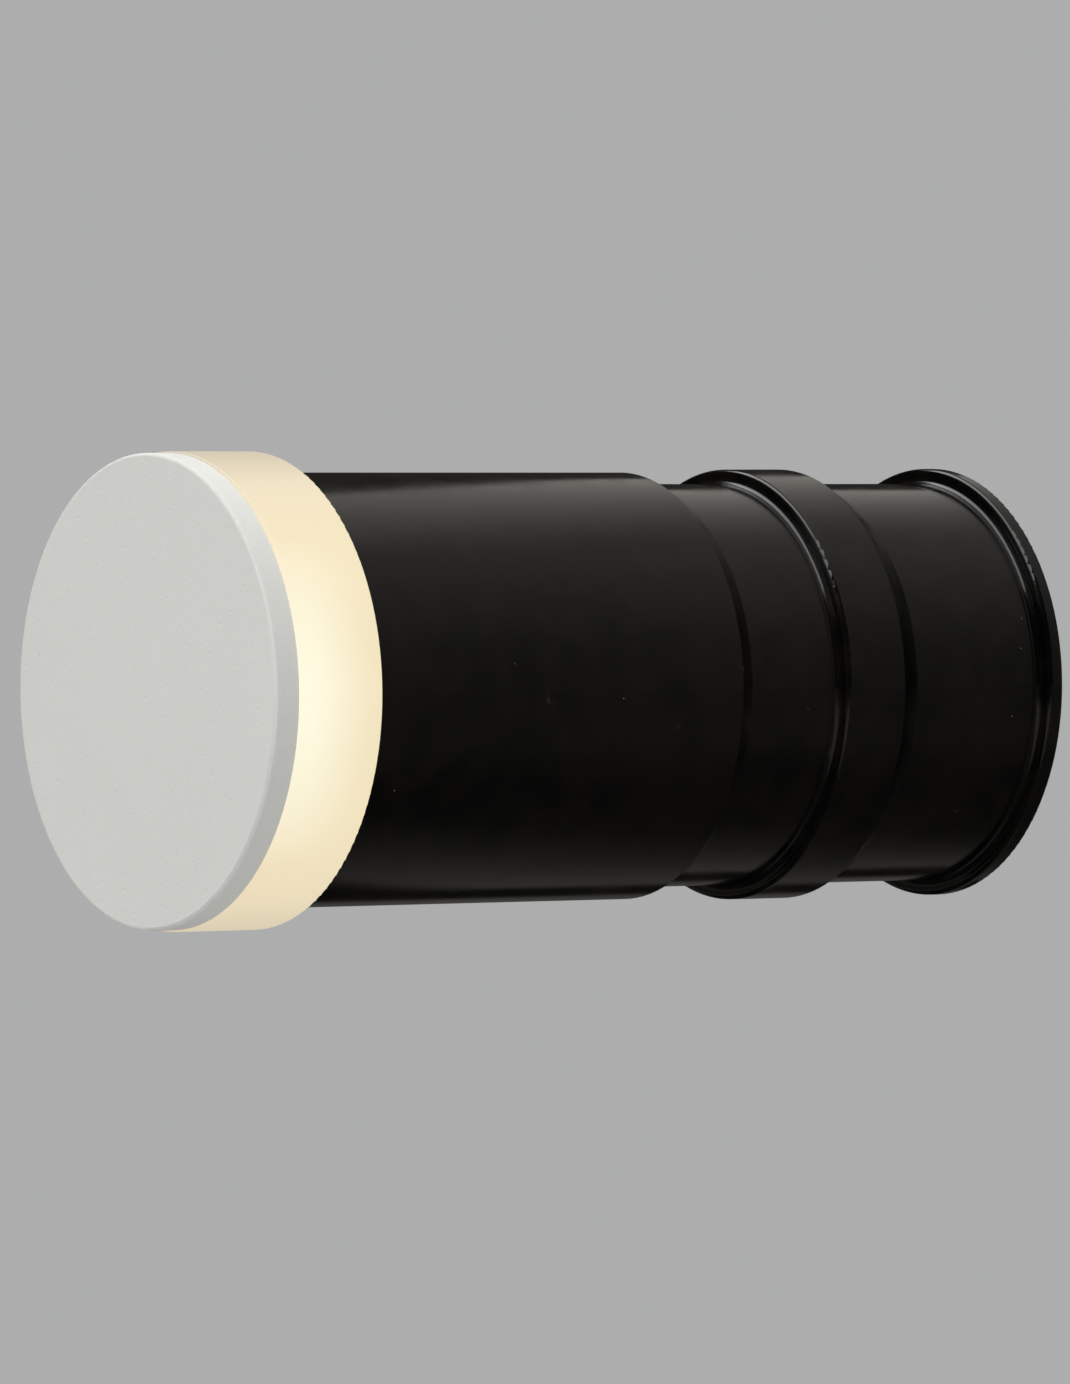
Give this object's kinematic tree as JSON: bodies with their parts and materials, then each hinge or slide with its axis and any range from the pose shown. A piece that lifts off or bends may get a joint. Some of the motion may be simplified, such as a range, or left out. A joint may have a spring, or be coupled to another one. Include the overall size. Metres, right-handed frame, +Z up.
{
  "type": "recessed wall step light",
  "caption": "Round wall light: white disc cap over a glowing opal ring, on a lamp insert that slides out of a stepped black recess sleeve with a cable gland.",
  "frame": {"origin": "on the lamp axis in the plane of the finished wall face, where the head's back meets the wall and the sleeve's mouth lies", "axes": "+Y along the lamp axis into the wall, the head towards -Y; +Z up; X across the wall"},
  "size_m": [0.0706, 0.1584, 0.0706],
  "materials": {
    "black_plastic": "satin moulded black",
    "seal_rubber": "matt",
    "gland_nylon": "moulded nylon",
    "white_paint": "fine textured matt white coat",
    "silicone": "translucent silicone",
    "opal": "opal, lit warm white from inside",
    "white_plastic": "moulded white",
    "board_white": "white solder mask",
    "led_phosphor": "yellow phosphor in a white frame",
    "screw_steel": "zinc plated",
    "cast_aluminium": "fine cast",
    "foam": "closed-cell foam",
    "red_wire": "wire insulation",
    "blue_wire": "wire insulation",
    "spring_steel": "rolled strip",
    "board_green": "green solder mask",
    "ferrite": "sintered",
    "coil_tape": "yellow tape",
    "capacitor_sleeve": "shrunk sleeve",
    "chip_black": "moulded epoxy",
    "terminal_plastic": "moulded polyamide",
    "terminal_brass": "drawn tube"
  },
  "bodies": {
    "recess": {"front_sleeve": "black_plastic", "joint_seal": "seal_rubber", "rear_sleeve": "black_plastic", "end_cap": "black_plastic", "end_seal": "seal_rubber", "gland_washer": "seal_rubber", "gland_body": "gland_nylon", "gland_seal": "seal_rubber", "gland_nut": "gland_nylon", "gland_locknut": "gland_nylon"},
    "lamp": {"front_cap": "white_paint", "cap_gasket": "silicone", "diffuser": "opal", "diffuser_gasket": "silicone", "reflector": "white_plastic", "led_board": "board_white", "led_chips": "led_phosphor", "board_screws": "screw_steel", "cap_screws": "screw_steel", "heat_sink": "cast_aluminium", "sleeve_gasket": "foam", "lead_grommet": "seal_rubber", "led_leads": "red_wire", "leaf_springs": "spring_steel", "spring_screws": "screw_steel", "driver_housing": "white_plastic", "housing_screws": "screw_steel", "driver_board": "board_green", "transformer_core": "ferrite", "transformer_coil": "coil_tape", "capacitors": "capacitor_sleeve", "power_chips": "chip_black", "driver_cover": "white_plastic", "cover_seal": "seal_rubber", "cover_screws": "screw_steel", "supply_leads": "blue_wire", "terminal_block": "terminal_plastic", "terminal_tubes": "terminal_brass", "terminal_screws": "screw_steel", "cable_clamp": "white_plastic", "clamp_screws": "screw_steel"}
  },
  "joints": [
    {"name": "lamp_pull", "type": "slide", "parent": "recess", "child": "lamp", "axis": [0, -1, 0], "range_m": [0, 0.11]}
  ]
}
